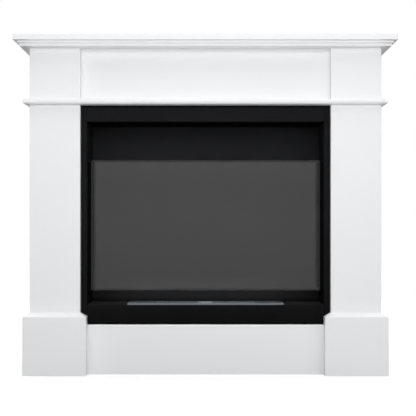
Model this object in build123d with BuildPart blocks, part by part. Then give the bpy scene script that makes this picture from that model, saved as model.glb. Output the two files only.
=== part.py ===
from build123d import *
import os

os.makedirs("parts", exist_ok=True)

# Surround: openings, boards and overhangs, in millimetres
opening_width = 697.0
opening_height = 612.0
base_height = 140.0
frieze_height = 142.0
pilaster_width = 140.0
panel_setback = 20.0
board = 16.0
board_round = 1.2
base_edge_round = 4.0
shelf_thickness = 16.0
shelf_overhang = 40.0
shelf_round = 1.2
shelf_corner = 3.0
cornice_upper_height = 7.5
cornice_lower_height = 8.5
cornice_upper_overhang = 30.0
cornice_lower_overhang = 25.0
cornice_upper_round = 3.0
cornice_lower_round = 3.0
belt_thickness = 16.0
belt_overhang = 17.0
plinth_thickness = 18.0
plinth_height = 163.0
plinth_slope = 11.0

# Surround: hidden carcass
cleat = 20.0
rail_height = 64.0
wall_hole_radius = 4.0
wall_hole_spacing = 500.0
block_leg = 26.0
block_height = 60.0
block_rows = 3
dowel_radius = 4.0
dowel_fit = 0.05
dowel_reach = 20.0
dowel_top_reach = 10.0
dowel_pitch = 140.0

# Firebox
sheet = 2.0
bend_radius = 3.0
shadow_gap = 3.0
strip_width = 13.5
chamber_depth = 156.0
fascia_height = 43.0
riser_height = 51.0
pad_width = 40.0
pad_inset = 60.0
fold_width = 28.0
rear_fold = 22.0
fold_rivet_offset = 13.0
shield_sheet = 1.5
shield_gap = 30.0
wall_clearance = 50.5
vent_length = 60.0
vent_width = 8.0
vent_pitch_x = 84.0
vent_pitch_z = 22.0
vent_columns = 7
vent_rows = 2
vent_inset = 80.0
bracket_arm = 26.0
bracket_height = 36.0
bracket_hole_offset = 16.0
bracket_rows = 2

# Fixings
rivet_radius = 2.0
rivet_head_radius = 3.6
rivet_head_height = 1.2
flange_rivet_count = 4
fold_rivet_count = 3
screw_radius = 2.0
screw_head_radius = 3.8
screw_head_height = 2.4
screw_fit = 0.1
screw_tail = 2.0
head_bevel = 0.6
wood_screw_bite = 12.0
spacer_radius = 5.0
spacer_rows = 3
spacer_rise = 15.0
nut_width = 7.0
nut_height = 3.2
nut_fit = 0.05

# Burner
burner_length = 440.0
burner_depth = 100.0
burner_setback = 4.0
burner_plate = 1.0
burner_rim = 6.0
burner_rim_height = 1.5
burner_corner = 3.0
tank_wall = 1.2
tank_fit = 1.0
tank_floor_gap = 9.0
wool_gap = 7.0
wool_fit = 1.0
slot_width = 50.0
shutter_plate = 1.2
shutter_travel = 73.0
shutter_fit = 0.3
shutter_end_gap = 1.0
shutter_lap = 3.0
shutter_corner = 1.5
guide_plate = 0.8
guide_lap = 4.0
pull_width = 18.5
pull_length = 70.0
pull_plate = 1.2
pull_hole_radius = 3.0
pull_corner = 2.0

# Glass and its holders
glass_thickness = 5.0
glass_corner = 2.0
glass_facet_width = 6.0
glass_facet_depth = 1.5
glass_setback = 20.0
glass_side_gap = 10.0
glass_bottom_gap = 40.0
glass_top_gap = 106.0
holder_sheet = 1.5
holder_bend = 2.2
holder_lap = 6.0
holder_arm = 20.0
holder_hole_offset = 12.0
holder_end_gap = 4.0
tape_thickness = 1.0
holder_screw_count = 3

# Places that follow from the sizes above
half_opening = opening_width / 2
half_width = half_opening + pilaster_width
leg_depth = panel_setback + chamber_depth + sheet + shield_gap + shield_sheet + wall_clearance
wall_y = (leg_depth + shelf_overhang) / 2
face_y = wall_y - leg_depth
panel_y = face_y + panel_setback
belt_z = base_height + opening_height
frieze_z = belt_z + belt_thickness
cornice_z = frieze_z + frieze_height
cornice_step_z = cornice_z + cornice_lower_height
shelf_z = cornice_step_z + cornice_upper_height
board_back_y = face_y + board
panel_back_y = panel_y + board

casing_x = half_opening - shadow_gap
chamber_x = casing_x - strip_width
casing_foot_z = base_height + shadow_gap
casing_top_z = belt_z - shadow_gap
ceiling_z = casing_top_z - fascia_height
hearth_z = casing_foot_z + riser_height
chamber_back_y = panel_y + chamber_depth
casing_back_y = chamber_back_y + sheet
shield_y = casing_back_y + shield_gap
fold_y = panel_y + fold_width
flange_x = (chamber_x + sheet + casing_x) / 2
sides = (-1, 1)


def save(piece, name):
    piece.part.label = name
    export_step(piece.part, f"parts/{name}.step")


def save_pair(right, name):
    """Write a right-hand piece and its mirror image on the left."""
    with BuildPart() as left:
        mirror(right.part, about=Plane.YZ)
    save(right, f"{name}_right")
    save(left, f"{name}_left")


def spread(low, high, count):
    """Return evenly spaced values, the first and last half a step inside the span."""
    step = (high - low) / count
    return [low + step * (index + 0.5) for index in range(count)]


def slab(x, y, z):
    """Add a flat board filling the low and high limits along X, Y and Z."""
    with BuildSketch(Plane.XY.offset(z[0])) as outline:
        with Locations(((x[0] + x[1]) / 2, (y[0] + y[1]) / 2)):
            Rectangle(x[1] - x[0], y[1] - y[0])
    extrude(outline.sketch, amount=z[1] - z[0])


def folded(plane, points, length, thickness, radius, side):
    """Add a folded sheet: the points trace one face and the sheet lies on the given side of it."""
    with BuildSketch(plane) as section:
        with BuildLine():
            FilletPolyline(points, radius=radius)
            offset(amount=thickness, side=side)
        make_face()
    extrude(section.sketch, amount=length)


def along_x(x, y, z):
    return Location((x, y, z), (0, 90, 0))


def along_y(x, y, z):
    return Location((x, y, z), (90, 0, 0))


# Mouldings that run round the front and both ends
def draw_shelf(reach):
    with Locations((0, shelf_z + shelf_thickness / 2)):
        RectangleRounded(2 * (reach + shelf_overhang), shelf_thickness, shelf_round)


def draw_cornice(reach):
    with Locations((0, cornice_z + cornice_lower_height / 2)):
        lower = Rectangle(2 * (reach + cornice_lower_overhang), cornice_lower_height)
    fillet(lower.vertices().group_by(Axis.Y)[0], cornice_lower_round)
    with BuildSketch(mode=Mode.PRIVATE) as upper:
        with Locations((0, cornice_step_z + cornice_upper_height / 2)):
            Rectangle(2 * (reach + cornice_upper_overhang), cornice_upper_height)
        fillet(upper.vertices().group_by(Axis.Y)[0], cornice_upper_round)
    add(upper.sketch)


def draw_belt(reach):
    with Locations((0, belt_z + belt_thickness / 2)):
        SlotOverall(2 * (reach + belt_overhang), belt_thickness)


def moulded(draw_edge):
    """Add a board with the same edge along its front and both ends and a square edge at the wall."""
    with BuildSketch(Plane(origin=(0, wall_y, 0), x_dir=(0, 1, 0), z_dir=(1, 0, 0))) as front_edge:
        draw_edge(leg_depth)
    extrude(front_edge.sketch, amount=half_width + shelf_overhang, both=True)
    with BuildSketch(Plane.XZ.offset(-wall_y)) as end_edges:
        draw_edge(half_width)
    extrude(end_edges.sketch, amount=leg_depth + shelf_overhang, mode=Mode.INTERSECT)


# Dowel places over the leg cheeks
dowel_middle_y = (board_back_y + wall_y) / 2
dowel_ys = (dowel_middle_y - dowel_pitch / 2, dowel_middle_y + dowel_pitch / 2)
return_dowel_x = half_opening + board / 2
side_dowel_x = half_width - board / 2
dowel_xs = (-side_dowel_x, -return_dowel_x, return_dowel_x, side_dowel_x)


def dowel_holes(xs, z, depth):
    """Cut dowel holes to the given depth above and below the height z."""
    with Locations([(x, y, z) for x in xs for y in dowel_ys]):
        Hole(dowel_radius + dowel_fit, depth)


with BuildPart() as mantel_shelf:
    moulded(draw_shelf)
    with BuildSketch(Plane.XY.offset(shelf_z)) as plan:
        with Locations((0, wall_y)):
            Rectangle(2 * (half_width + shelf_overhang), 2 * (leg_depth + shelf_overhang))
        fillet(plan.vertices(), shelf_corner)
    extrude(plan.sketch, amount=shelf_thickness, mode=Mode.INTERSECT)
save(mantel_shelf, "mantel_shelf")

with BuildPart() as cornice_board:
    moulded(draw_cornice)
    dowel_holes(dowel_xs, cornice_z, dowel_top_reach)
save(cornice_board, "cornice_board")

with BuildPart() as belt_moulding:
    moulded(draw_belt)
    dowel_holes(dowel_xs, belt_z, belt_thickness)
save(belt_moulding, "belt_moulding")

# Frieze
with BuildPart() as frieze_panel:
    slab((-half_opening, half_opening), (panel_y, panel_back_y), (frieze_z, cornice_z))
save(frieze_panel, "frieze_panel")

with BuildPart() as frieze_block:
    slab((half_opening, half_width), (face_y, board_back_y), (frieze_z, cornice_z))
    fillet(frieze_block.edges().filter_by(Axis.Z).group_by(Axis.Y)[0], board_round)
save_pair(frieze_block, "frieze_block")

with BuildPart() as frieze_side:
    slab((half_width - board, half_width), (board_back_y, wall_y), (frieze_z, cornice_z))
    dowel_holes([side_dowel_x], frieze_z, dowel_reach)
    dowel_holes([side_dowel_x], cornice_z, dowel_reach)
save_pair(frieze_side, "frieze_side")

with BuildPart() as frieze_rib:
    slab((half_opening, half_opening + board), (board_back_y, wall_y), (frieze_z, cornice_z))
    dowel_holes([return_dowel_x], frieze_z, dowel_reach)
    dowel_holes([return_dowel_x], cornice_z, dowel_reach)
save_pair(frieze_rib, "frieze_rib")

rail_y = wall_y - board
wall_hole_z = cornice_z - rail_height / 2
with BuildPart() as frieze_back_rail:
    slab((-half_opening, half_opening), (rail_y, wall_y), (cornice_z - rail_height, cornice_z))
    with Locations([along_y(side * wall_hole_spacing / 2, wall_y, wall_hole_z) for side in sides]):
        Hole(wall_hole_radius, 2 * board)
save(frieze_back_rail, "frieze_back_rail")

# Legs
bracket_zs = spread(base_height, belt_z, bracket_rows)
bracket_hole_y = casing_back_y + bracket_hole_offset
with BuildPart() as pilaster_front:
    slab((half_opening, half_width), (face_y, board_back_y), (0, belt_z))
    fillet(pilaster_front.edges().filter_by(Axis.Z).group_by(Axis.Y)[0], board_round)
save_pair(pilaster_front, "pilaster_front")

with BuildPart() as pilaster_side:
    slab((half_width - board, half_width), (board_back_y, wall_y), (0, belt_z))
    dowel_holes([side_dowel_x], belt_z, dowel_reach)
save_pair(pilaster_side, "pilaster_side")

with BuildPart() as pilaster_return:
    slab((half_opening, half_opening + board), (board_back_y, wall_y), (0, belt_z))
    dowel_holes([return_dowel_x], belt_z, dowel_reach)
    with Locations([along_x(half_opening, bracket_hole_y, z) for z in bracket_zs]):
        Hole(screw_radius + screw_fit, wood_screw_bite + screw_fit)
save_pair(pilaster_return, "pilaster_return")


# Plinth boards, mitred where they turn a corner
def plinth_board(plane, length):
    """Add a foot board with a sloped top; the sketch plane's X axis points away from the leg."""
    with BuildSketch(plane) as section:
        Polygon(
            (0, 0),
            (plinth_thickness, 0),
            (plinth_thickness, plinth_height),
            (0, plinth_height + plinth_slope),
            align=None,
        )
    extrude(section.sketch, amount=length)


outer_mitre = Plane(origin=(half_width, face_y, 0), z_dir=(1, 1, 0))
inner_mitre = Plane(origin=(half_opening, face_y, 0), z_dir=(-1, 1, 0))
plinth_outer_x = half_width + plinth_thickness
plinth_inner_x = half_opening - plinth_thickness
plinth_front_y = face_y - plinth_thickness

with BuildPart() as plinth_front:
    front_start = Plane(origin=(plinth_outer_x, face_y, 0), x_dir=(0, -1, 0), z_dir=(-1, 0, 0))
    plinth_board(front_start, plinth_outer_x - plinth_inner_x)
    split(bisect_by=outer_mitre, keep=Keep.BOTTOM)
    split(bisect_by=inner_mitre, keep=Keep.BOTTOM)
save_pair(plinth_front, "plinth_front")

with BuildPart() as plinth_side:
    side_start = Plane(origin=(half_width, wall_y, 0), x_dir=(1, 0, 0), z_dir=(0, -1, 0))
    plinth_board(side_start, wall_y - plinth_front_y)
    split(bisect_by=outer_mitre, keep=Keep.TOP)
save_pair(plinth_side, "plinth_side")

with BuildPart() as plinth_return:
    return_start = Plane(origin=(half_opening, plinth_front_y, 0), x_dir=(-1, 0, 0), z_dir=(0, 1, 0))
    plinth_board(return_start, panel_y - plinth_front_y)
    split(bisect_by=inner_mitre, keep=Keep.TOP)
save_pair(plinth_return, "plinth_return")

# Base and what carries the firebox
hearth_board_z = base_height - board
cleat_z = hearth_board_z - cleat
with BuildPart() as base_panel:
    slab((-half_opening, half_opening), (panel_y, panel_back_y), (0, base_height))
    front_top = base_panel.edges().filter_by(Axis.X).group_by(Axis.Z)[-1].group_by(Axis.Y)[0]
    fillet(front_top, base_edge_round)
save(base_panel, "base_panel")

with BuildPart() as hearth_board:
    slab((-half_opening, half_opening), (panel_back_y, wall_y), (hearth_board_z, base_height))
save(hearth_board, "hearth_board")

with BuildPart() as support_cleats:
    slab((-half_opening, half_opening), (panel_back_y, panel_back_y + cleat), (cleat_z, hearth_board_z))
    for side in sides:
        cleat_x = sorted((side * (half_opening - cleat), side * half_opening))
        slab(cleat_x, (panel_back_y + 2 * cleat, rail_y), (cleat_z, hearth_board_z))
save(support_cleats, "support_cleats")

with BuildPart() as lower_back_rail:
    slab((-half_opening, half_opening), (rail_y, wall_y), (hearth_board_z - rail_height, hearth_board_z))
save(lower_back_rail, "lower_back_rail")


def corner_block(x, inward):
    """Draw a triangular block in the corner between a leg front and the cheek at x."""
    Polygon(
        (x, board_back_y),
        (x + inward * block_leg, board_back_y),
        (x, board_back_y + block_leg),
        align=None,
    )


with BuildPart() as glue_blocks:
    for z in spread(0, belt_z, block_rows):
        with BuildSketch(Plane.XY.offset(z - block_height / 2)):
            for side in sides:
                corner_block(side * (half_width - board), -side)
                corner_block(side * (half_opening + board), side)
        extrude(amount=block_height)
save(glue_blocks, "glue_blocks")

with BuildPart() as dowels:
    with Locations([(x, y, belt_z - dowel_reach) for x in dowel_xs for y in dowel_ys]):
        Cylinder(
            dowel_radius,
            belt_thickness + 2 * dowel_reach,
            align=(Align.CENTER, Align.CENTER, Align.MIN),
        )
    with Locations([(x, y, cornice_z - dowel_reach) for x in dowel_xs for y in dowel_ys]):
        Cylinder(
            dowel_radius,
            dowel_reach + dowel_top_reach,
            align=(Align.CENTER, Align.CENTER, Align.MIN),
        )
save(dowels, "dowels")

# Places of the firebox fixings
flange_rivet_zs = spread(casing_foot_z, casing_top_z, flange_rivet_count)
spacer_zs = [z + spacer_rise for z in spread(casing_foot_z, casing_top_z, spacer_rows)]
fold_rivet_xs = spread(-chamber_x, chamber_x, fold_rivet_count)
ceiling_rivet_z = ceiling_z + fold_rivet_offset
hearth_rivet_z = hearth_z - fold_rivet_offset
floor_rivet_z = casing_foot_z + fold_rivet_offset
flange_rivets = [along_y(side * flange_x, chamber_back_y, z) for side in sides for z in flange_rivet_zs]
fold_rivets = [
    along_y(x, chamber_back_y, z)
    for x in fold_rivet_xs
    for z in (floor_rivet_z, hearth_rivet_z, ceiling_rivet_z)
]
spacer_holes = [along_y(side * flange_x, chamber_back_y, z) for side in sides for z in spacer_zs]
bracket_holes = [along_y(side * flange_x, chamber_back_y, z) for side in sides for z in bracket_zs]
rivet_hole = rivet_radius + screw_fit
screw_hole = screw_radius + screw_fit

# Glass holder places
glass_y = panel_y + glass_setback
tape_y = glass_y + glass_thickness
holder_y = tape_y + tape_thickness
glass_bottom_z = hearth_z + glass_bottom_gap
glass_top_z = ceiling_z - glass_top_gap
glass_half_width = chamber_x - glass_side_gap
holder_inner_x = glass_half_width - holder_lap
holder_top_z = glass_top_z - holder_end_gap
lip_z = glass_bottom_z - holder_sheet
holder_hole_y = holder_y + holder_hole_offset
holder_screw_zs = spread(glass_bottom_z, holder_top_z, holder_screw_count)
holder_holes = [along_x(chamber_x, holder_hole_y, z) for z in holder_screw_zs]

# Firebox sheets, on pads that leave a dark gap over the base
with BuildPart() as firebox_pads:
    for side in sides:
        pad_x = sorted((side * (casing_x - pad_inset), side * (casing_x - pad_inset - pad_width)))
        slab(pad_x, (panel_back_y, casing_back_y), (base_height, casing_foot_z))
save(firebox_pads, "firebox_pads")

with BuildPart() as firebox_side:
    folded(
        Plane.XY.offset(casing_foot_z),
        [
            (casing_x, panel_y),
            (chamber_x, panel_y),
            (chamber_x, chamber_back_y),
            (casing_x, chamber_back_y),
        ],
        casing_top_z - casing_foot_z,
        sheet,
        bend_radius,
        Side.RIGHT,
    )
    with Locations([spot for spot in flange_rivets if spot.position.X > 0]):
        Hole(rivet_hole, 2 * sheet)
    with Locations([spot for spot in spacer_holes + bracket_holes if spot.position.X > 0]):
        Hole(screw_hole, 2 * sheet)
    with Locations(holder_holes):
        Hole(screw_hole, 2 * sheet)
save_pair(firebox_side, "firebox_side")

with BuildPart() as firebox_back:
    slab((-casing_x, casing_x), (chamber_back_y, casing_back_y), (casing_foot_z, casing_top_z))
    with Locations(flange_rivets + fold_rivets):
        Hole(rivet_hole, 2 * sheet)
    with Locations(spacer_holes + bracket_holes):
        Hole(screw_hole, 2 * sheet)
save(firebox_back, "firebox_back")

left_wall = Plane.YZ.offset(-chamber_x)
with BuildPart() as firebox_fascia:
    folded(
        left_wall,
        [
            (fold_y, casing_top_z),
            (panel_y, casing_top_z),
            (panel_y, ceiling_z),
            (chamber_back_y, ceiling_z),
            (chamber_back_y, ceiling_z + rear_fold),
        ],
        2 * chamber_x,
        sheet,
        bend_radius,
        Side.LEFT,
    )
    with Locations([spot for spot in fold_rivets if spot.position.Z > ceiling_z]):
        Hole(rivet_hole, 2 * sheet)
save(firebox_fascia, "firebox_fascia")

tank_length = burner_length - 2 * burner_rim
tank_depth = burner_depth - 2 * burner_rim
burner_y = panel_y + burner_setback + burner_depth / 2
with BuildPart() as firebox_hearth:
    folded(
        left_wall,
        [
            (fold_y, casing_foot_z),
            (panel_y, casing_foot_z),
            (panel_y, hearth_z),
            (chamber_back_y, hearth_z),
            (chamber_back_y, hearth_z - rear_fold),
        ],
        2 * chamber_x,
        sheet,
        bend_radius,
        Side.RIGHT,
    )
    with BuildSketch(Plane.XY.offset(hearth_z)):
        with Locations((0, burner_y)):
            RectangleRounded(tank_length + 2 * tank_fit, tank_depth + 2 * tank_fit, burner_corner)
    extrude(amount=-sheet, mode=Mode.SUBTRACT)
    with Locations([spot for spot in fold_rivets if floor_rivet_z < spot.position.Z < hearth_z]):
        Hole(rivet_hole, 2 * sheet)
save(firebox_hearth, "firebox_hearth")

with BuildPart() as firebox_floor:
    folded(
        left_wall,
        [
            (fold_y, casing_foot_z),
            (chamber_back_y, casing_foot_z),
            (chamber_back_y, casing_foot_z + rear_fold),
        ],
        2 * chamber_x,
        sheet,
        bend_radius,
        Side.LEFT,
    )
    with Locations([spot for spot in fold_rivets if spot.position.Z <= floor_rivet_z]):
        Hole(rivet_hole, 2 * sheet)
save(firebox_floor, "firebox_floor")

with BuildPart() as rear_heat_shield:
    slab((-casing_x, casing_x), (shield_y, shield_y + shield_sheet), (casing_foot_z, casing_top_z))
    with BuildSketch(Plane.XZ.offset(-shield_y - shield_sheet)):
        with Locations((0, casing_foot_z + vent_inset), (0, casing_top_z - vent_inset)):
            with GridLocations(vent_pitch_x, vent_pitch_z, vent_columns, vent_rows):
                SlotOverall(vent_length, vent_width)
    extrude(amount=shield_sheet, mode=Mode.SUBTRACT)
    with Locations([along_y(spot.position.X, shield_y, spot.position.Z) for spot in spacer_holes]):
        Hole(screw_hole, 2 * shield_sheet)
save(rear_heat_shield, "rear_heat_shield")


# Fixings
def turned_fixing(shank_radius, shank_length, head_radius, head_height):
    """Return a fixing with a domed head above its origin and a shank down the Z axis."""
    with BuildPart() as fixing:
        Cylinder(shank_radius, shank_length, align=(Align.CENTER, Align.CENTER, Align.MAX))
        Cylinder(head_radius, head_height, align=(Align.CENTER, Align.CENTER, Align.MIN))
        chamfer(fixing.edges().group_by(Axis.Z)[-1], head_height * head_bevel)
    return fixing.part


def facing_back(x, y, z):
    """Place a fixing with its head to the rear and its shank pointing forward."""
    return Location((x, y, z), (-90, 0, 0))


def facing_middle(side, x, y, z):
    """Place a fixing with its head toward the middle plane and its shank pointing outward."""
    return Location((side * x, y, z), (0, -side * 90, 0))


def facing_out(side, x, y, z):
    """Place a fixing with its head away from the middle plane and its shank pointing inward."""
    return Location((side * x, y, z), (0, side * 90, 0))


rivet = turned_fixing(rivet_radius, 2 * sheet, rivet_head_radius, rivet_head_height)
with BuildPart() as firebox_rivets:
    rivet_places = [(spot.position.X, spot.position.Z) for spot in flange_rivets + fold_rivets]
    with Locations([facing_back(x, casing_back_y, z) for x, z in rivet_places]):
        add(rivet)
save(firebox_rivets, "firebox_rivets")

spacer_places = [(spot.position.X, spot.position.Z) for spot in spacer_holes]
with BuildPart() as shield_spacers:
    for x, z in spacer_places:
        with BuildSketch(Plane.XZ.offset(-casing_back_y)):
            with Locations((x, z)):
                Circle(spacer_radius)
                Circle(screw_hole, mode=Mode.SUBTRACT)
    extrude(amount=-shield_gap)
save(shield_spacers, "shield_spacers")

nut_y = chamber_back_y - sheet
shield_screw_length = shield_y + shield_sheet - nut_y + nut_height + screw_tail
shield_screw = turned_fixing(screw_radius, shield_screw_length, screw_head_radius, screw_head_height)
with BuildPart() as shield_screws:
    with Locations([facing_back(x, shield_y + shield_sheet, z) for x, z in spacer_places]):
        add(shield_screw)
save(shield_screws, "shield_screws")

with BuildPart() as shield_nuts:
    for x, z in spacer_places:
        with BuildSketch(Plane.XZ.offset(-nut_y)):
            with Locations((x, z)):
                RegularPolygon(nut_width / 2, 6, major_radius=False)
                Circle(screw_radius + nut_fit, mode=Mode.SUBTRACT)
    extrude(amount=nut_height)
save(shield_nuts, "shield_nuts")

with BuildPart() as bracket:
    folded(
        Plane.XY.offset(-bracket_height / 2),
        [
            (chamber_x + sheet, casing_back_y),
            (half_opening, casing_back_y),
            (half_opening, casing_back_y + bracket_arm),
        ],
        bracket_height,
        sheet,
        bend_radius,
        Side.LEFT,
    )
    with Locations(along_y(flange_x, casing_back_y, 0)):
        Hole(screw_hole, 2 * sheet)
    with Locations(along_x(half_opening, bracket_hole_y, 0)):
        Hole(screw_hole, 2 * sheet)

with BuildPart() as firebox_brackets:
    with Locations([(0, 0, z) for z in bracket_zs]):
        add(bracket.part)
    mirror(about=Plane.YZ)
save(firebox_brackets, "firebox_brackets")

plate_screw = turned_fixing(screw_radius, 3 * sheet + screw_tail, screw_head_radius, screw_head_height)
board_screw = turned_fixing(screw_radius, sheet + wood_screw_bite, screw_head_radius, screw_head_height)
with BuildPart() as bracket_screws:
    bracket_places = [(spot.position.X, spot.position.Z) for spot in bracket_holes]
    with Locations([facing_back(x, casing_back_y + sheet, z) for x, z in bracket_places]):
        add(plate_screw)
    for side in sides:
        with Locations([facing_middle(side, half_opening - sheet, bracket_hole_y, z) for z in bracket_zs]):
            add(board_screw)
save(bracket_screws, "bracket_screws")

# Burner
flange_top_z = hearth_z + burner_plate
deck_floor_z = flange_top_z + burner_plate
deck_rim_z = deck_floor_z + burner_rim_height
tank_bottom_z = casing_foot_z + sheet + tank_floor_gap
slot_length = 2 * (shutter_travel - shutter_lap)


def centred_plate(z, length, depth, corner, amount, mode=Mode.ADD):
    """Add or cut a round-cornered plate centred on the burner, starting at the height z."""
    with BuildSketch(Plane.XY.offset(z)) as outline:
        with Locations((0, burner_y)):
            RectangleRounded(length, depth, corner)
    extrude(outline.sketch, amount=amount, mode=mode)


with BuildPart() as burner_tank:
    centred_plate(hearth_z, burner_length, burner_depth, burner_corner, burner_plate)
    centred_plate(hearth_z, tank_length, tank_depth, burner_corner, tank_bottom_z - hearth_z)
    centred_plate(
        flange_top_z,
        tank_length - 2 * tank_wall,
        tank_depth - 2 * tank_wall,
        burner_corner - tank_wall,
        tank_bottom_z + tank_wall - flange_top_z,
        Mode.SUBTRACT,
    )
save(burner_tank, "burner_tank")

with BuildPart() as burner_wool:
    wool_bottom_z = tank_bottom_z + tank_wall
    centred_plate(
        wool_bottom_z,
        tank_length - 2 * tank_wall - 2 * wool_fit,
        tank_depth - 2 * tank_wall - 2 * wool_fit,
        burner_corner,
        flange_top_z - wool_gap - wool_bottom_z,
    )
    fillet(burner_wool.edges().group_by(Axis.Z)[-1], burner_corner / 2)
save(burner_wool, "burner_wool")

with BuildPart() as burner_deck:
    centred_plate(flange_top_z, burner_length, burner_depth, burner_corner, deck_rim_z - flange_top_z)
    centred_plate(deck_rim_z, tank_length, tank_depth, shutter_corner, -burner_rim_height, Mode.SUBTRACT)
    centred_plate(deck_floor_z, slot_length, slot_width, burner_corner, -burner_plate, Mode.SUBTRACT)
save(burner_deck, "burner_deck")


def guide_rail(direction):
    """Add a rail over the deck rim that laps the shutters' long edge."""
    middle_y = burner_y + direction * (tank_depth / 2 + (burner_rim / 2 - guide_lap) / 2)
    with BuildSketch(Plane.XY.offset(deck_rim_z)) as outline:
        with Locations((0, middle_y)):
            RectangleRounded(tank_length, guide_lap + burner_rim / 2, shutter_corner)
    extrude(outline.sketch, amount=guide_plate)


with BuildPart() as front_guide_rail:
    guide_rail(-1)
save(front_guide_rail, "front_guide_rail")

with BuildPart() as rear_guide_rail:
    guide_rail(1)
save(rear_guide_rail, "rear_guide_rail")

shutter_outer_x = tank_length / 2 - shutter_end_gap - shutter_travel
shutter_middle_x = (shutter_outer_x + shutter_fit) / 2
shutter_top_z = deck_floor_z + shutter_plate
pull_middle_x = shutter_fit + pull_width / 2
with BuildPart() as right_shutter:
    with BuildSketch(Plane.XY.offset(deck_floor_z)):
        with Locations((shutter_middle_x, burner_y)):
            RectangleRounded(shutter_outer_x - shutter_fit, tank_depth - 2 * shutter_fit, shutter_corner)
    extrude(amount=shutter_plate)
save(right_shutter, "right_shutter")

with BuildPart() as left_shutter:
    mirror(right_shutter.part, about=Plane.YZ)
save(left_shutter, "left_shutter")

with BuildPart() as right_pull_plate:
    with BuildSketch(Plane.XY.offset(shutter_top_z)):
        with Locations((pull_middle_x, burner_y)):
            RectangleRounded(pull_width, pull_length, pull_corner)
            Circle(pull_hole_radius, mode=Mode.SUBTRACT)
    extrude(amount=pull_plate)
save(right_pull_plate, "right_pull_plate")

with BuildPart() as left_pull_plate:
    mirror(right_pull_plate.part, about=Plane.YZ)
save(left_pull_plate, "left_pull_plate")

# Glass pane bonded to an angle on each side wall
with BuildPart() as glass_pane:
    with BuildSketch(Plane.YZ):
        Polygon(
            (tape_y, glass_bottom_z),
            (tape_y, glass_top_z),
            (glass_y + glass_facet_depth, glass_top_z),
            (glass_y, glass_top_z - glass_facet_width),
            (glass_y, glass_bottom_z + glass_facet_width),
            (glass_y + glass_facet_depth, glass_bottom_z),
            align=None,
        )
    extrude(amount=glass_half_width, both=True)
    with BuildSketch(Plane.XZ.offset(-glass_y)):
        with Locations((0, (glass_bottom_z + glass_top_z) / 2)):
            RectangleRounded(2 * glass_half_width, glass_top_z - glass_bottom_z, glass_corner)
    extrude(amount=-glass_thickness, mode=Mode.INTERSECT)
save(glass_pane, "glass_pane")

with BuildPart() as glass_holder:
    folded(
        Plane.XY.offset(lip_z),
        [
            (holder_inner_x, holder_y),
            (chamber_x, holder_y),
            (chamber_x, holder_y + holder_arm),
        ],
        holder_top_z - lip_z,
        holder_sheet,
        holder_bend,
        Side.LEFT,
    )
    slab((holder_inner_x, glass_half_width), (glass_y, holder_y), (lip_z, glass_bottom_z))
    with Locations(holder_holes):
        Hole(screw_hole, 2 * holder_sheet)
save_pair(glass_holder, "glass_holder")

with BuildPart() as glass_tape:
    slab((holder_inner_x, glass_half_width), (tape_y, holder_y), (glass_bottom_z, holder_top_z))
save_pair(glass_tape, "glass_tape")

holder_screw = turned_fixing(screw_radius, sheet + holder_sheet, screw_head_radius, screw_head_height)
with BuildPart() as glass_holder_screws:
    for side in sides:
        places = [facing_out(side, chamber_x + sheet, holder_hole_y, z) for z in holder_screw_zs]
        with Locations(places):
            add(holder_screw)
save(glass_holder_screws, "glass_holder_screws")
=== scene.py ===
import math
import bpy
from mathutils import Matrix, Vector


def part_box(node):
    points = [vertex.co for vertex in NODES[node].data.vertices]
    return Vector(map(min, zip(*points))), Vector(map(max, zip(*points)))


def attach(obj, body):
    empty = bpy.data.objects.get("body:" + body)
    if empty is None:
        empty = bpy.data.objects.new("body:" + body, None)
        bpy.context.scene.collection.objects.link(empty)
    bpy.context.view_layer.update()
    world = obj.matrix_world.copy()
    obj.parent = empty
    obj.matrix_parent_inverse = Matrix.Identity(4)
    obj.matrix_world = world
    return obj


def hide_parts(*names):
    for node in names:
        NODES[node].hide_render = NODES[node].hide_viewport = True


bl_info = {
    "name": "Mantel Fireplace",
    "version": (1, 0, 0),
    "blender": (4, 5, 0),
    "location": "View3D > Sidebar > Fireplace",
    "description": "Finishes a white mantel fireplace with a glass pane and a shuttered burner",
    "category": "Object",
}

from collections import namedtuple

import bmesh
import bpy
from bpy.props import FloatProperty, FloatVectorProperty, IntProperty, PointerProperty
from mathutils import Vector, noise

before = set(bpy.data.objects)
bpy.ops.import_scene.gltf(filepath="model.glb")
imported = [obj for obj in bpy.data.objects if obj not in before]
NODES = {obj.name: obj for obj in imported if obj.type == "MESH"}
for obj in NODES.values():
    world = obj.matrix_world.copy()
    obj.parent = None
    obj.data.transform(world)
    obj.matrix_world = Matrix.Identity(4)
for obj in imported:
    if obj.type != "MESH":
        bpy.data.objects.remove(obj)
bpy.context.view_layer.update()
SIDES = ("left", "right")
FIXED_BODY = "surround"

# Width of the picture in pixels, and of the camera's sensor in millimetres
PICTURE = 416
SENSOR = 36.0

# Part of the noise range that is stretched to a full range
NOISE_SPAN = (0.3, 0.7)

# Cosines that tell which way a face looks
TURNED = 0.7  # squarely one way
LEVEL = 0.9  # flat upwards
EDGE = 0.5  # below this, a sheet's edge
DOWNWARD = (-0.4, -0.9)  # from sloping down to straight down
SMOOTH_TOP = 0.3  # above this, the top of the wool

# Distances on the boards and in the firebox, in metres
SKIN = 0.0005
GAP_LIP = 0.0015
GAP_DEPTH = 0.05
OVERHANG_FADE = 0.012
PALE_PATCH_HEIGHTS = (0.08, 0.035)
PALE_PATCH_WIDTHS = (0.42, 0.2)
SIDE_SHADE_REACH = 0.3
BACK_SHADE_REACH = 0.012

# Shares of a screw's head radius, and of a weld's radius and a fibre's length
RECESS_LENGTH = 1.15
RECESS_WIDTH = 0.24
SHANK_SHARE = 0.52
WELD_RISE = 0.25
FIBRE_MARGIN = 0.6

# Shape of the wool, in metres
TUFT_DEPTH = 0.0018
TUFT_SCALE = 160  # cycles for each metre
TUFT_NOISE = (1.0, 2.0, 3)  # falloff, step in scale and number of scales
FIBRE_SINK = 0.0012
FIBRE_TILT = 0.12  # radians

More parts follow.
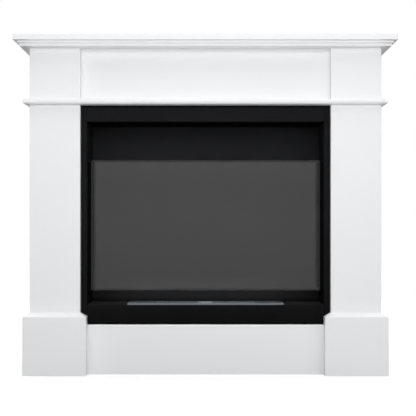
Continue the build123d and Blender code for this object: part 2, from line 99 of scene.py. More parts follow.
# Tones and shares within a finish
FLECK_SPAN = (0.32, 0.68)
CLOUD_SHARE, CLOUD_TONE = 0.35, 0.82
BARE_ROUGHNESS = 0.85
FINE_PEEL = 0.3
UNDERSIDE_SHADE_SHARE = 0.97
LINE_WEAR, PATCH_WEAR = 0.14, 0.1
LINE_TINT, LINE_GLOSS = 0.6, 0.7
PRINT_TONE, PRINT_GLOSS = 0.4, 0.6
# Painted reflection: share of the glass's reflection low and high on the pane
REFLECTION_LOW, REFLECTION_HIGH = 0.86, 0.97

# Fixed colours
BLACK = (0, 0, 0, 1)
WHITE = (1, 1, 1, 1)
# Near-black for painted shade on the firebox undersides
UNDERSIDE_SHADE = (0.0008, 0.0008, 0.0008, 1)
# Grey for the dusty hearth top, laid on more towards the rear as painted light
DUST_AND_LIGHT = (0.12, 0.117, 0.112, 1)
PALE_PATCH = (0.09, 0.09, 0.094, 1)
DARK_BEECH, PALE_BEECH = (0.42, 0.25, 0.12, 1), (0.62, 0.42, 0.24, 1)
DARK_WOOL, PALE_WOOL = (0.62, 0.6, 0.55, 1), (0.84, 0.83, 0.79, 1)
DARK_TAPE, PALE_TAPE = (0.008, 0.008, 0.009, 1), (0.016, 0.016, 0.017, 1)

# Lamps and floor, in metres
Softbox = namedtuple("Softbox", "name power place size target")
SOFTBOXES = (
    Softbox("top_softbox", "top_power", (0, -0.7, 3.0), (3.0, 2.4), (0, -0.1, 0.4)),
    Softbox("front_softbox", "front_power", (0, -2.4, 0.3), (2.6, 0.5), (0, 0, 0.7)),
    Softbox("strip_softbox", "strip_power", (0, -1.7, 1.0), (2.4, 0.8), (0, 0, 0.7)),
    Softbox("right_softbox", "right_power", (2.6, -2.2, 1.3), (1.5, 2.0), (0, 0, 0.5)),
    Softbox("left_end_softbox", "side_power", (-2.4, 0.7, 1.35), (1.2, 0.8), (0, 0.1, 0.5)),
    Softbox("right_end_softbox", "side_power", (2.4, 0.7, 1.35), (1.2, 0.8), (0, 0.1, 0.5)),
    Softbox("rear_softbox", "rear_power", (0, 2.6, 1.35), (2.4, 0.8), (0, 0.1, 0.5)),
)
FLOOR_REACH = 6.0
FLOOR_DROP = 0.0002
FLOOR_TONE_FADE = (1.4, 3.6)
FLOOR_GLOW_FADE = (0.7, 1.9)

# Painted shade, a darkening where shade falls: the height where it is deepest, how far up it
# reaches and its tone there
PaintedShade = namedtuple("PaintedShade", "height reach tone")


def both(*stems):
    """Return the left and right node names of paired pieces."""
    return [f"{stem}_{side}" for stem in stems for side in SIDES]


def finish_colour(name, description, default):
    return FloatVectorProperty(
        name=name, description=description, subtype="COLOR", size=3, min=0, max=1, default=default
    )


def length(name, description, default, least=0.0):
    return FloatProperty(
        name=name, description=description, default=default, min=least, unit="LENGTH"
    )


def lamp_power(name, description, default):
    return FloatProperty(name=name, description=description, default=default, min=0, unit="POWER")


# Sizes and colours that a user would change
class FinishSettings(bpy.types.PropertyGroup):
    lacquer: finish_colour("Lacquer", "White of the painted boards", (0.86, 0.866, 0.878))
    # Painted shade: a grey for the undersides that overhang the frieze ends, where shade falls
    overhang_shade: finish_colour(
        "Overhang shade", "Grey shade under the overhanging ends of the mouldings", (0.385, 0.39, 0.4)
    )
    raw_board: finish_colour("Raw board", "Bare board on the hidden faces", (0.39, 0.27, 0.165))
    heat_paint: finish_colour("Heat paint", "Black of the firebox sheets", (0.011, 0.0112, 0.0122))
    steel: finish_colour("Brushed steel", "Burner deck, tank and rails", (0.47, 0.503, 0.547))
    shutter_steel: finish_colour("Shutter steel", "The two sliding shutters", (0.65, 0.69, 0.75))
    pull_steel: finish_colour("Polished steel", "Pull plates on the shutters", (0.84, 0.89, 0.95))
    zinc: finish_colour("Zinc plate", "Heat shield, brackets and fixings", (0.52, 0.54, 0.56))
    glass_tint: finish_colour("Glass tint", "Tint of light through the pane", (0.8, 0.8, 0.82))
    glass_border: length("Glass border", "Width of the black print at each side", 0.0068)
    glass_line: length("Glass line", "Width of the dull line all round inside the print", 0.0055)


class DetailSettings(bpy.types.PropertyGroup):
    screw_head_radius: length("Screw head radius", "Pan heads on the heat shield", 0.0038, 0.001)
    screw_head_height: length("Screw head height", "Height of the pan heads", 0.0024, 0.0005)
    weld_pitch: length("Weld pitch", "Distance between welds on the guide rails", 0.0352, 0.005)
    weld_radius: length("Weld radius", "Radius of one spot weld", 0.0009, 0.0002)
    weld_inset: length("Weld inset", "Distance of a spot weld from the rail's outer edge", 0.0015)
    fibre_count: IntProperty(
        name="Fibres", description="Loose fibres on the burner wool", default=1400, min=0, max=6000
    )
    fibre_length: length("Fibre length", "Length of a loose fibre", 0.011, 0.001)
    fibre_thickness: length("Fibre thickness", "Radius of a loose fibre", 0.00012, 0.00001)
    fibre_bow: length("Fibre bow", "How far a loose fibre bends sideways", 0.0022)


class StageSettings(bpy.types.PropertyGroup):
    camera_distance: length("Camera distance", "From the lens to the pilaster faces", 3.0, 0.5)
    camera_height: length("Camera height", "Lens height over the floor", 0.412)
    focal_widths: FloatProperty(
        name="Focal length", description="Focal length in picture widths",
        default=1080 / PICTURE, min=0.5,
    )
    shift_x: FloatProperty(name="Shift X", description="Sideways framing", default=2.5 / PICTURE)
    shift_y: FloatProperty(name="Shift Y", description="Upward framing", default=19.1 / PICTURE)
    sky: FloatProperty(
        name="Room light", description="Strength of the even light from all round",
        default=0.006, min=0,
    )
    top_power: lamp_power("Top light", "Power of the large softbox overhead", 52.8)
    front_power: lamp_power("Front light", "Power of the low wide softbox in front", 3.9)
    strip_power: lamp_power("Strip light", "Power of the near strip in front", 20.4)
    right_power: lamp_power("Right light", "Power of the softbox at the right", 10.8)
    side_power: lamp_power("Side lights", "Power of the softbox at each end of the surround", 27.0)
    rear_power: lamp_power("Rear light", "Power of the softbox behind the surround", 31.0)
    floor_tone: FloatProperty(
        name="Floor tone", description="Grey of the floor where it takes the shadow",
        default=0.45, min=0, max=1, subtype="FACTOR",
    )
    floor_glow: FloatProperty(
        name="Floor glow", description="White of the floor near the object as the camera sees it",
        default=0.6, min=0, max=1, subtype="FACTOR",
    )


# Shader helpers
def new_material(name):
    """Return a material with its node tree and its surface shader."""
    material = bpy.data.materials.new(name)
    material.use_nodes = True
    tree = material.node_tree
    return material, tree, tree.nodes["Principled BSDF"]


def add_node(tree, kind, inputs=None, **settings):
    """Add a node, set it up, and link or fill its inputs."""
    node = tree.nodes.new(kind)
    for key, value in settings.items():
        setattr(node, key, value)
    for key, value in (inputs or {}).items():
        fill(tree, node.inputs[key], value)
    return node


def fill(tree, socket, value):
    if isinstance(value, bpy.types.NodeSocket):
        tree.links.new(value, socket)
    else:
        socket.default_value = value


def split(tree, vector):
    return add_node(tree, "ShaderNodeSeparateXYZ", {"Vector": vector}).outputs


def surface_data(tree):
    """Return the parts of the surface's direction and of its place on the object."""
    coords = add_node(tree, "ShaderNodeTexCoord").outputs
    return split(tree, coords["Normal"]), split(tree, coords["Object"])


def stretched(tree, scale):
    """Return object coordinates multiplied by a scale for each axis."""
    place = add_node(tree, "ShaderNodeTexCoord").outputs["Object"]
    return add_node(tree, "ShaderNodeMapping", {"Vector": place, "Scale": scale}).outputs["Vector"]


def grain(tree, scale, detail=2.0, roughness=0.5, stretch=(1, 1, 1)):
    """Return a noise value; the scale is in cycles for each metre."""
    return add_node(
        tree, "ShaderNodeTexNoise",
        {
            "Vector": stretched(tree, stretch), "Scale": scale,
            "Detail": detail, "Roughness": roughness,
        },
    ).outputs["Fac"]


def remap(tree, value, span, to=(0, 1)):
    """Carry a value from one range over to another, and stop at its ends."""
    return add_node(
        tree, "ShaderNodeMapRange",
        {
            "Value": value, "From Min": span[0], "From Max": span[1],
            "To Min": to[0], "To Max": to[1],
        },
    ).outputs["Result"]


def mottle(tree, to=(0, 1), **pattern):
    """Return noise that fills a whole range."""
    return remap(tree, grain(tree, **pattern), NOISE_SPAN, to)


def math_node(tree, operation, first, second=0.0):
    node = add_node(tree, "ShaderNodeMath", {0: first, 1: second}, operation=operation)
    return node.outputs["Value"]


def times(tree, first, second):
    return math_node(tree, "MULTIPLY", first, second)


def larger(tree, first, second):
    return math_node(tree, "MAXIMUM", first, second)


def above(tree, value, limit):
    return math_node(tree, "GREATER_THAN", value, limit)


def below(tree, value, limit):
    return math_node(tree, "LESS_THAN", value, limit)


def mix_colour(tree, factor, first, second):
    node = add_node(tree, "ShaderNodeMix", {0: factor, 6: first, 7: second}, data_type="RGBA")
    return node.outputs[2]


def opaque(colour, gain=1.0):
    return (*(min(1.0, channel * gain) for channel in colour), 1.0)


def grey(tone):
    return (tone, tone, tone, 1)


def shaded(tree, factor, colour, dark, pale):
    """Return a colour that varies between a darker and a paler shade of itself."""
    return mix_colour(tree, factor, opaque(colour, dark), opaque(colour, pale))


def bump(tree, surface, height, distance, strength):
    relief = add_node(
        tree, "ShaderNodeBump", {"Height": height, "Distance": distance, "Strength": strength}
    )
    feed(tree, surface, "Normal", relief.outputs["Normal"])


def feed(tree, surface, socket, value):
    tree.links.new(value, surface.inputs[socket])


def preset(surface, values):
    """Set values that are the same all over the surface."""
    for socket, value in values.items():
        surface.inputs[socket].default_value = value


# Finishes
def raw_board_colour(tree, colour):
    """Return the speckled brown of bare fibreboard."""
    flecks = remap(tree, grain(tree, scale=900, detail=4, roughness=0.7), FLECK_SPAN)
    clouds = mottle(tree, scale=14, detail=3)
    speckled = shaded(tree, flecks, colour, dark=0.78, pale=1.14)
    return mix_colour(tree, times(tree, clouds, CLOUD_SHARE), speckled, opaque(colour, CLOUD_TONE))


def inside_block(tree, place, half, front, rear, bottom, top):
    """Return 1 inside a block that is centred on the middle of the fireplace."""
    tests = (
        below(tree, math_node(tree, "ABSOLUTE", place["X"]), half),
        above(tree, place["Y"], front),
        below(tree, place["Y"], rear),
        above(tree, place["Z"], bottom),
        below(tree, place["Z"], top),
    )
    inside = 1.0
    for test in tests:
        inside = times(tree, test, inside)
    return inside


def hidden_faces(tree, turned):
    """Return two masks: where the board is bare, and where black goes in the narrow space round the
    firebox as sealing paint and painted shade.

    The board is bare to the wall, inside the surround, and on faces turned out (1) or in (-1)
    where asked.
    """
    normal, place = surface_data(tree)
    base_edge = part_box("base_panel")[1]
    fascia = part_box("firebox_fascia")[0].y
    belt_low, belt_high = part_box("belt_moulding")
    # The board faces in the narrow space round the firebox are painted black: sealing paint that
    # also stands in for the shade there.
    painted_gap_shade = inside_block(
        tree, place, half=base_edge.x + SKIN, front=fascia + GAP_LIP, rear=fascia + GAP_DEPTH,
        bottom=base_edge.z - SKIN, top=belt_low.z + SKIN,
    )
    cavity = inside_block(
        tree, place, half=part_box("frieze_side_right")[0].x + SKIN,
        front=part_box("frieze_panel")[1].y - SKIN, rear=belt_high.y + SKIN,
        bottom=-SKIN, top=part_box("mantel_shelf")[0].z + SKIN,
    )
    bare = larger(tree, cavity, above(tree, normal["Y"], TURNED))
    if turned:
        outward = times(tree, normal["X"], math_node(tree, "SIGN", place["X"]))
        bare = larger(tree, bare, above(tree, times(tree, outward, turned), TURNED))
    return bare, painted_gap_shade


def overhang_shade_mask(tree):
    """Return 1 on the undersides that reach out past the ends of the frieze, where grey is painted
    as shade.
    """
    normal, place = surface_data(tree)
    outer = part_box("frieze_side_right")[1].x
    across = math_node(tree, "ABSOLUTE", place["X"])
    beyond = remap(tree, across, (outer - OVERHANG_FADE, outer + OVERHANG_FADE))
    downward = remap(tree, normal["Z"], DOWNWARD)
    return times(tree, downward, beyond)


def white_lacquer(name, finish, turned):
    """Satin white paint outside, grey painted shade under the overhanging ends, bare board out of
    sight, and black in the narrow space round the firebox as sealing paint and painted shade.
    """
    material, tree, surface = new_material(name)
    clouds = grain(tree, scale=6, detail=3)
    paint = shaded(tree, clouds, finish.lacquer, dark=0.988, pale=1.008)
    # Painted shade: grey on the undersides that overhang the frieze ends.
    paint = mix_colour(tree, overhang_shade_mask(tree), paint, opaque(finish.overhang_shade))
    bare, painted_gap_shade = hidden_faces(tree, turned)
    board = mix_colour(tree, bare, paint, raw_board_colour(tree, finish.raw_board))
    # Black in the narrow space round the firebox, partly sealing paint and partly painted shade.
    feed(tree, surface, "Base Color", mix_colour(tree, painted_gap_shade, board, opaque(finish.heat_paint)))
    sheen = mottle(tree, to=(0.4, 0.5), scale=40, detail=4)
    feed(tree, surface, "Roughness", larger(tree, sheen, times(tree, bare, BARE_ROUGHNESS)))
    preset(surface, {"Specular IOR Level": 0.35})
    fine = times(tree, grain(tree, scale=1600), FINE_PEEL)
    peel = math_node(tree, "ADD", grain(tree, scale=420), fine)
    bump(tree, surface, peel, distance=0.00006, strength=0.5)
    return material


def bare_fibreboard(name, finish):
    material, tree, surface = new_material(name)
    feed(tree, surface, "Base Color", raw_board_colour(tree, finish.raw_board))
    preset(surface, {"Roughness": 0.86, "Specular IOR Level": 0.2})
    felt = grain(tree, scale=1100, detail=4, roughness=0.7)
    bump(tree, surface, felt, distance=0.0002, strength=0.6)
    return material


def beech(name):
    material, tree, surface = new_material(name)
    figure = mottle(tree, scale=90, detail=4, roughness=0.6, stretch=(1, 1, 0.06))
    feed(tree, surface, "Base Color", mix_colour(tree, figure, DARK_BEECH, PALE_BEECH))
    preset(surface, {"Roughness": 0.7})
    bump(tree, surface, figure, distance=0.0002, strength=0.4)
    return material


def heat_paint(name, finish, gain, dust_and_light=0.0, pale_patch=0.0, painted_shade=None):
    """Matt black stove paint. The gain gives lighter and darker copies of it as painted light and
    shade; top faces get a dusty grey that grows towards the rear as painted light, undersides and
    the foot get painted shade, and the back wall gets a paler patch behind the burner.
    """
    material, tree, surface = new_material(name)
    clouds = mottle(tree, scale=7, detail=4, roughness=0.6)
    # The gain lightens or darkens this one black as painted light and shade.
    paint = shaded(tree, clouds, finish.heat_paint, dark=gain * 0.9, pale=gain * 1.12)
    normal, place = surface_data(tree)
    low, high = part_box("firebox_hearth")
    # Dusty grey on the top faces, in patches, growing towards the rear as painted light where less
    # light reaches.
    if dust_and_light:
        level = above(tree, normal["Z"], LEVEL)
        rearward_light = remap(tree, place["Y"], (low.y, high.y), (0, dust_and_light))
        patches = mottle(tree, to=(0.7, 1.0), scale=28, detail=4, roughness=0.6)
        paint = mix_colour(tree, times(tree, level, times(tree, rearward_light, patches)), paint, DUST_AND_LIGHT)
    # A paler patch low in the middle of the back wall, behind the burner.
    if pale_patch:
        heights = [high.z + height for height in PALE_PATCH_HEIGHTS]
        near = remap(tree, place["Z"], heights, (0, pale_patch))
        middle = remap(tree, math_node(tree, "ABSOLUTE", place["X"]), PALE_PATCH_WIDTHS)
        paint = mix_colour(tree, times(tree, near, middle), paint, PALE_PATCH)
    # Painted shade: darker towards the given height, where shade falls at the foot or in a corner.
    if painted_shade:
        unshaded = remap(tree, place["Z"], (painted_shade.height, painted_shade.height + painted_shade.reach), (painted_shade.tone, 1))
        paint = mix_colour(tree, unshaded, BLACK, paint)
    # Painted shade: undersides turned almost black, where shade falls.
    underside_shade = times(tree, below(tree, normal["Z"], -TURNED), UNDERSIDE_SHADE_SHARE)
    feed(tree, surface, "Base Color", mix_colour(tree, underside_shade, paint, UNDERSIDE_SHADE))
    feed(tree, surface, "Roughness", mottle(tree, to=(0.55, 0.72), scale=55, detail=4))
    preset(surface, {"Specular IOR Level": 0.03})
    grit = grain(tree, scale=2200, detail=3, roughness=0.6)
    bump(tree, surface, grit, distance=0.00008, strength=0.6)
    return material


def zinc_plate(name, finish):
    """Zinc-plated sheet with faint crystal flakes."""
    material, tree, surface = new_material(name)
    flakes = add_node(
        tree, "ShaderNodeTexVoronoi", {"Vector": stretched(tree, (1, 1, 1)), "Scale": 70.0}
    ).outputs["Color"]
    tone = add_node(tree, "ShaderNodeSeparateColor", {"Color": flakes}).outputs["Red"]
    feed(tree, surface, "Base Color", shaded(tree, tone, finish.zinc, dark=0.86, pale=1.1))
    preset(surface, {"Metallic": 1.0})
    feed(tree, surface, "Roughness", remap(tree, tone, (0, 1), (0.36, 0.5)))
    bump(tree, surface, grain(tree, scale=600), distance=0.00003, strength=0.4)
    return material


def brushed_steel(name, colour, side_shade_tone, rough, metal):
    """Satin steel with brush lines along X on the flat faces, and a darker copy of the steel on
    upright faces and sheet edges as painted shade.
    """
    material, tree, surface = new_material(name)
    lines = grain(tree, scale=2600, detail=3, roughness=0.6, stretch=(0.02, 1, 1))
    patches = grain(tree, scale=30, detail=3)
    face = shaded(tree, remap(tree, lines, NOISE_SPAN), colour, dark=0.9, pale=1.07)
    normal, _ = surface_data(tree)
    # Painted shade: upright faces and sheet edges take a darker copy of the steel colour.
    edge = below(tree, math_node(tree, "ABSOLUTE", normal["Z"]), EDGE)
    feed(tree, surface, "Base Color", mix_colour(tree, edge, face, opaque(colour, side_shade_tone)))
    preset(surface, {"Metallic": metal})
    wear = math_node(tree, "ADD", times(tree, lines, LINE_WEAR), times(tree, patches, PATCH_WEAR))
    feed(tree, surface, "Roughness", math_node(tree, "ADD", wear, rough))
    bump(tree, surface, lines, distance=0.00002, strength=0.5)
    return material


def ceramic_wool(name):
    material, tree, surface = new_material(name)
    tufts = mottle(tree, scale=260, detail=5, roughness=0.7)
    feed(tree, surface, "Base Color", mix_colour(tree, tufts, DARK_WOOL, PALE_WOOL))
    preset(surface, {"Roughness": 0.95, "Specular IOR Level": 0.1})
    bump(tree, surface, tufts, distance=0.0006, strength=0.8)
    return material


def pane_glass(name, finish):
    """Smoked glass: black print at each side, a duller line all round, and a reflection painted
    weaker low down.
    """
    material, tree, surface = new_material(name)
    _, place = surface_data(tree)
    low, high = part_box("glass_pane")
    middle = (low.z + high.z) / 2
    across = math_node(tree, "ABSOLUTE", place["X"])
    upward = math_node(tree, "ABSOLUTE", math_node(tree, "SUBTRACT", place["Z"], middle))
    print_edge = high.x - finish.glass_border
    border = above(tree, across, print_edge)
    beside = above(tree, across, print_edge - finish.glass_line)
    ends = above(tree, upward, (high.z - low.z) / 2 - finish.glass_line)
    line = larger(tree, beside, ends)
    tint = mix_colour(tree, line, opaque(finish.glass_tint), opaque(finish.glass_tint, LINE_TINT))
    print_black = opaque(finish.heat_paint, PRINT_TONE)
    feed(tree, surface, "Base Color", mix_colour(tree, border, tint, print_black))
    # Painted reflection: the pane reflects less towards its bottom, a painted shade in the
    # reflection.
    rise = remap(tree, place["Z"], (low.z, middle))
    low_reflection_fade = mix_colour(tree, rise, grey(REFLECTION_LOW), grey(REFLECTION_HIGH))
    gloss = mix_colour(tree, line, low_reflection_fade, grey(LINE_GLOSS))
    feed(tree, surface, "Specular Tint", mix_colour(tree, border, gloss, grey(PRINT_GLOSS)))
    feed(tree, surface, "Transmission Weight", math_node(tree, "SUBTRACT", 1.0, border))
    preset(surface, {"IOR": 1.47})
    feed(tree, surface, "Roughness", mottle(tree, to=(0.0, 0.02), scale=25, detail=3))
    return material


def bonding_tape(name):
    material, tree, surface = new_material(name)
    weave = grain(tree, scale=1500)
    feed(tree, surface, "Base Color", mix_colour(tree, weave, DARK_TAPE, PALE_TAPE))
    preset(surface, {"Roughness": 0.8, "Specular IOR Level": 0.1})
    bump(tree, surface, weave, distance=0.0001, strength=0.5)
    return material


def dress(material, names):
    """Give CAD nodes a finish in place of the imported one."""
    for name in names:
        mesh = NODES[name].data
        mesh.materials.clear()
        mesh.materials.append(material)


# Geometry helpers
def new_tree(name, sizes):
    """Return a geometry node tree with named number inputs, and its group's two ends."""
    tree = bpy.data.node_groups.new(name, "GeometryNodeTree")
    tree.interface.new_socket("Geometry", in_out="INPUT", socket_type="NodeSocketGeometry")
    for label in sizes:
        tree.interface.new_socket(label, in_out="INPUT", socket_type="NodeSocketFloat")
    tree.interface.new_socket("Material", in_out="INPUT", socket_type="NodeSocketMaterial")
    tree.interface.new_socket("Geometry", in_out="OUTPUT", socket_type="NodeSocketGeometry")
    return tree, add_node(tree, "NodeGroupInput").outputs, add_node(tree, "NodeGroupOutput")


def vector(tree, **parts):
    return add_node(tree, "ShaderNodeCombineXYZ", parts).outputs["Vector"]


def moved(tree, geometry, **changes):
    """Return geometry after a translation or a scale."""
    node = add_node(tree, "GeometryNodeTransform", {"Geometry": geometry, **changes})
    return node.outputs["Geometry"]


def dome(tree, radius, height, segments, rings):
    """Return a ball that is flattened to a given height."""
    ball = add_node(
        tree, "GeometryNodeMeshUVSphere", {"Segments": segments, "Rings": rings, "Radius": radius}
    )
    flat = math_node(tree, "DIVIDE", height, radius)
    return moved(tree, ball.outputs["Mesh"], Scale=vector(tree, X=1.0, Y=1.0, Z=flat))


def close_tree(tree, source, end, placed):
    """Turn placed copies into one mesh of one material and send it out."""
    solid = add_node(
        tree, "GeometryNodeRealizeInstances", {"Geometry": placed.outputs["Instances"]}
    ).outputs["Geometry"]
    done = add_node(
        tree, "GeometryNodeSetMaterial", {"Geometry": solid, "Material": source["Material"]}
    )
    tree.links.new(done.outputs["Geometry"], end.inputs["Geometry"])


def grown(name, tree, points, faces, values):
    """Run a geometry node tree on a seed mesh and return the result as a plain piece."""
    seed = bpy.data.meshes.new(f"{name}_seed")
    seed.from_pydata(points, [], faces)
    holder = bpy.data.objects.new(f"{name}_holder", seed)
    bpy.context.scene.collection.objects.link(holder)
    modifier = holder.modifiers.new("grow", "NODES")
    modifier.node_group = tree
    for item in tree.interface.items_tree:
        if item.in_out == "INPUT" and item.name in values:
            modifier[item.identifier] = values[item.name]
    graph = bpy.context.evaluated_depsgraph_get()
    mesh = bpy.data.meshes.new_from_object(holder.evaluated_get(graph))
    bpy.data.objects.remove(holder)
    bpy.data.meshes.remove(seed)
    piece = bpy.data.objects.new(name, mesh)
    bpy.context.scene.collection.objects.link(piece)
    return piece


def screw_tree():
    """Pan-head screws with a cross recess, one at each seed point, heads to the rear."""
    sizes = ("Head Radius", "Head Height", "Shank Radius", "Shank Length")
    tree, source, end = new_tree("pan_head_screws", sizes)
    radius, height = source["Head Radius"], source["Head Height"]
    head = dome(tree, radius, height, segments=28, rings=14)
    blade_long = times(tree, radius, RECESS_LENGTH)
    blade_thin = times(tree, radius, RECESS_WIDTH)
    lift = vector(tree, Z=height)
    for x_size, y_size in ((blade_long, blade_thin), (blade_thin, blade_long)):
        size = vector(tree, X=x_size, Y=y_size, Z=height)
        blade = add_node(tree, "GeometryNodeMeshCube", {"Size": size}).outputs["Mesh"]
        cut = add_node(tree, "GeometryNodeMeshBoolean", {"Mesh 1": head}, operation="DIFFERENCE")
        tree.links.new(moved(tree, blade, Translation=lift), cut.inputs["Mesh 2"])
        head = cut.outputs["Mesh"]
    shank = add_node(
        tree, "GeometryNodeMeshCylinder",
        {"Vertices": 20, "Radius": source["Shank Radius"], "Depth": source["Shank Length"]},
    )
    sunk = vector(tree, Z=times(tree, source["Shank Length"], -0.5))
    screw = add_node(tree, "GeometryNodeJoinGeometry")
    tree.links.new(head, screw.inputs["Geometry"])
    shaft = moved(tree, shank.outputs["Mesh"], Translation=sunk)
    tree.links.new(shaft, screw.inputs["Geometry"])
    placed = add_node(
        tree, "GeometryNodeInstanceOnPoints",
        {
            "Points": source["Geometry"],
            "Instance": screw.outputs["Geometry"],
            "Rotation": (-math.pi / 2, 0, 0),
        },
    )
    close_tree(tree, source, end, placed)
    return tree


def weld_tree():
    """Shallow round spot welds, one at each seed point."""
    tree, source, end = new_tree("spot_welds", ("Radius", "Height"))
    nugget = dome(tree, source["Radius"], source["Height"], segments=14, rings=8)
    placed = add_node(
        tree, "GeometryNodeInstanceOnPoints", {"Points": source["Geometry"], "Instance": nugget}
    )
    close_tree(tree, source, end, placed)
    return tree


def fibre_tree():
    """Short bent fibres scattered over a flat patch."""
    tree, source, end = new_tree("loose_fibres", ("Density", "Length", "Thickness", "Bow"))
    scattered = add_node(
        tree, "GeometryNodeDistributePointsOnFaces",
        {"Mesh": source["Geometry"], "Density": source["Density"], "Seed": 7},
    )
    start, stop = (vector(tree, X=times(tree, source["Length"], share)) for share in (-0.5, 0.5))
    crest = vector(tree, Y=source["Bow"], Z=source["Thickness"])
    strand = add_node(
        tree, "GeometryNodeCurveQuadraticBezier",
        {"Resolution": 5, "Start": start, "Middle": crest, "End": stop},
    )
    ring = add_node(
        tree, "GeometryNodeCurvePrimitiveCircle", {"Resolution": 3, "Radius": source["Thickness"]}
    )
    tube = add_node(
        tree, "GeometryNodeCurveToMesh",
        {
            "Curve": strand.outputs["Curve"],
            "Profile Curve": ring.outputs["Curve"],
            "Fill Caps": True,
        },
    )
    least, most = (-FIBRE_TILT, -FIBRE_TILT, 0.0), (FIBRE_TILT, FIBRE_TILT, 2 * math.pi)
    turn = add_node(
        tree, "FunctionNodeRandomValue", {0: least, 1: most, "Seed": 11}, data_type="FLOAT_VECTOR"
    )
    placed = add_node(
        tree, "GeometryNodeInstanceOnPoints",
        {
            "Points": scattered.outputs["Points"],
            "Instance": tube.outputs["Mesh"],
            "Rotation": turn.outputs[0],
        },
    )
    close_tree(tree, source, end, placed)
    return tree


# Operators, one for each group of pieces
class FIREPLACE_OT_surround(bpy.types.Operator):
    """Paint the boards of the surround white, with bare board on the hidden faces"""

    bl_idname = "fireplace.surround"
    bl_label = "Surround"

    def execute(self, context):
        finish = context.scene.fireplace_finish
        plain = white_lacquer("white_lacquer", finish, 0)
        outer = white_lacquer("white_lacquer_cheek", finish, -1)
        inner = white_lacquer("white_lacquer_return", finish, 1)
        fronts = ["mantel_shelf", "cornice_board", "belt_moulding", "frieze_panel", "base_panel"]
        dress(plain, fronts + both("frieze_block", "pilaster_front", "plinth_front"))
        dress(outer, both("frieze_side", "pilaster_side", "plinth_side"))
        dress(inner, both("frieze_rib", "pilaster_return", "plinth_return"))
        return {"FINISHED"}


class FIREPLACE_OT_carcass(bpy.types.Operator):
    """Finish the hidden boards, blocks and dowels"""

    bl_idname = "fireplace.carcass"
    bl_label = "Carcass"

    def execute(self, context):
        board = bare_fibreboard("bare_fibreboard", context.scene.fireplace_finish)
        rails = ["frieze_back_rail", "lower_back_rail"]
        dress(board, rails + ["hearth_board", "support_cleats", "glue_blocks"])
        dress(beech("beech_dowel"), ["dowels"])
        return {"FINISHED"}


class FIREPLACE_OT_firebox(bpy.types.Operator):
    """Paint the firebox sheets and the glass holders black"""

    bl_idname = "fireplace.firebox"
    bl_label = "Firebox"

    def execute(self, context):
        finish = context.scene.fireplace_finish
        low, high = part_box("firebox_hearth")
        # Painted shade at the foot of the side strips and the hearth riser, and in the corner at
        # the foot of the back wall
        side_foot_shade = PaintedShade(height=low.z, reach=SIDE_SHADE_REACH, tone=0.55)
        back_corner_shade = PaintedShade(height=high.z, reach=BACK_SHADE_REACH, tone=0.3)
        hearth_foot_shade = PaintedShade(height=low.z, reach=high.z - low.z, tone=0.5)
        # The gain makes lighter and darker copies of one black as painted light and shade: darker
        # holders, hearth and sides, and a lighter back wall and floor
        fascia = heat_paint("black_heat_paint", finish, gain=1.0)
        side = heat_paint("side_heat_paint", finish, gain=0.92, painted_shade=side_foot_shade)
        holder = heat_paint("sooty_heat_paint", finish, gain=0.25)
        back = heat_paint("faded_heat_paint", finish, gain=1.55, pale_patch=0.57, painted_shade=back_corner_shade)
        hearth = heat_paint("dusty_heat_paint", finish, gain=0.6, dust_and_light=0.9, painted_shade=hearth_foot_shade)
        dress(fascia, ["firebox_fascia"])
        dress(side, both("firebox_side"))
        dress(holder, both("glass_holder"))
        dress(back, ["firebox_back", "firebox_floor"])
        dress(hearth, ["firebox_hearth"])
        return {"FINISHED"}


class FIREPLACE_OT_heat_shield(bpy.types.Operator):
    """Finish the heat shield and fit its pan-head screws"""

    bl_idname = "fireplace.heat_shield"
    bl_label = "Heat shield"

    def execute(self, context):
        details = context.scene.fireplace_details
        radius = details.screw_head_radius
        zinc = zinc_plate("zinc_plate", context.scene.fireplace_finish)
        dress(
            zinc,
            [
                "rear_heat_shield", "shield_spacers", "shield_nuts", "firebox_rivets",
                "firebox_brackets", "bracket_screws", "glass_holder_screws",
            ],
        )
        tips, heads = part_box("shield_screws")
        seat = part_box("rear_heat_shield")[1].y
        edge = heads.x - radius
        rows = (tips.z + radius, (tips.z + heads.z) / 2, heads.z - radius)
        points = [(x, seat, z) for x in (-edge, edge) for z in rows]
        sizes = {
            "Head Radius": radius,
            "Head Height": details.screw_head_height,
            "Shank Radius": radius * SHANK_SHARE,
            "Shank Length": seat - tips.y,
            "Material": zinc,
        }
        screws = grown("shield_screw_set", screw_tree(), points, [], sizes)
        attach(screws, FIXED_BODY)
        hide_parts("shield_screws")
        return {"FINISHED"}


class FIREPLACE_OT_burner(bpy.types.Operator):
    """Finish the burner and its shutters, and weld the guide rails down"""

    bl_idname = "fireplace.burner"
    bl_label = "Burner"

    def execute(self, context):
        finish = context.scene.fireplace_finish
        details = context.scene.fireplace_details
        steel = brushed_steel("brushed_steel", finish.steel, side_shade_tone=0.3, rough=0.3, metal=0.4)
        plate = brushed_steel(
            "shutter_steel", finish.shutter_steel, side_shade_tone=0.2, rough=0.26, metal=0.45
        )
        polished = brushed_steel(
            "polished_steel", finish.pull_steel, side_shade_tone=0.4, rough=0.4, metal=0.15
        )
        rails = ["front_guide_rail", "rear_guide_rail"]
        dress(steel, ["burner_tank", "burner_deck"] + rails)
        dress(plate, ["left_shutter", "right_shutter"])
        dress(polished, ["left_pull_plate", "right_pull_plate"])
        points = []
        for rail in rails:
            points += self.weld_points(rail, details.weld_pitch, details.weld_inset)
        sizes = {
            "Radius": details.weld_radius,
            "Height": details.weld_radius * WELD_RISE,
            "Material": steel,
        }
        welds = grown("rail_spot_welds", weld_tree(), points, [], sizes)
        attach(welds, FIXED_BODY)
        return {"FINISHED"}

    @staticmethod
    def weld_points(rail, pitch, inset):
        """Return a centred row of points on a rail, beside its outer edge."""
        low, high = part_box(rail)
        rim = low.y if rail.startswith("front") else high.y
        y = rim + math.copysign(inset, (low.y + high.y) / 2 - rim)
        count = int((high.x - low.x) / pitch)
        start = -pitch * (count - 1) / 2
        return [(start + pitch * step, y, high.z) for step in range(count)]


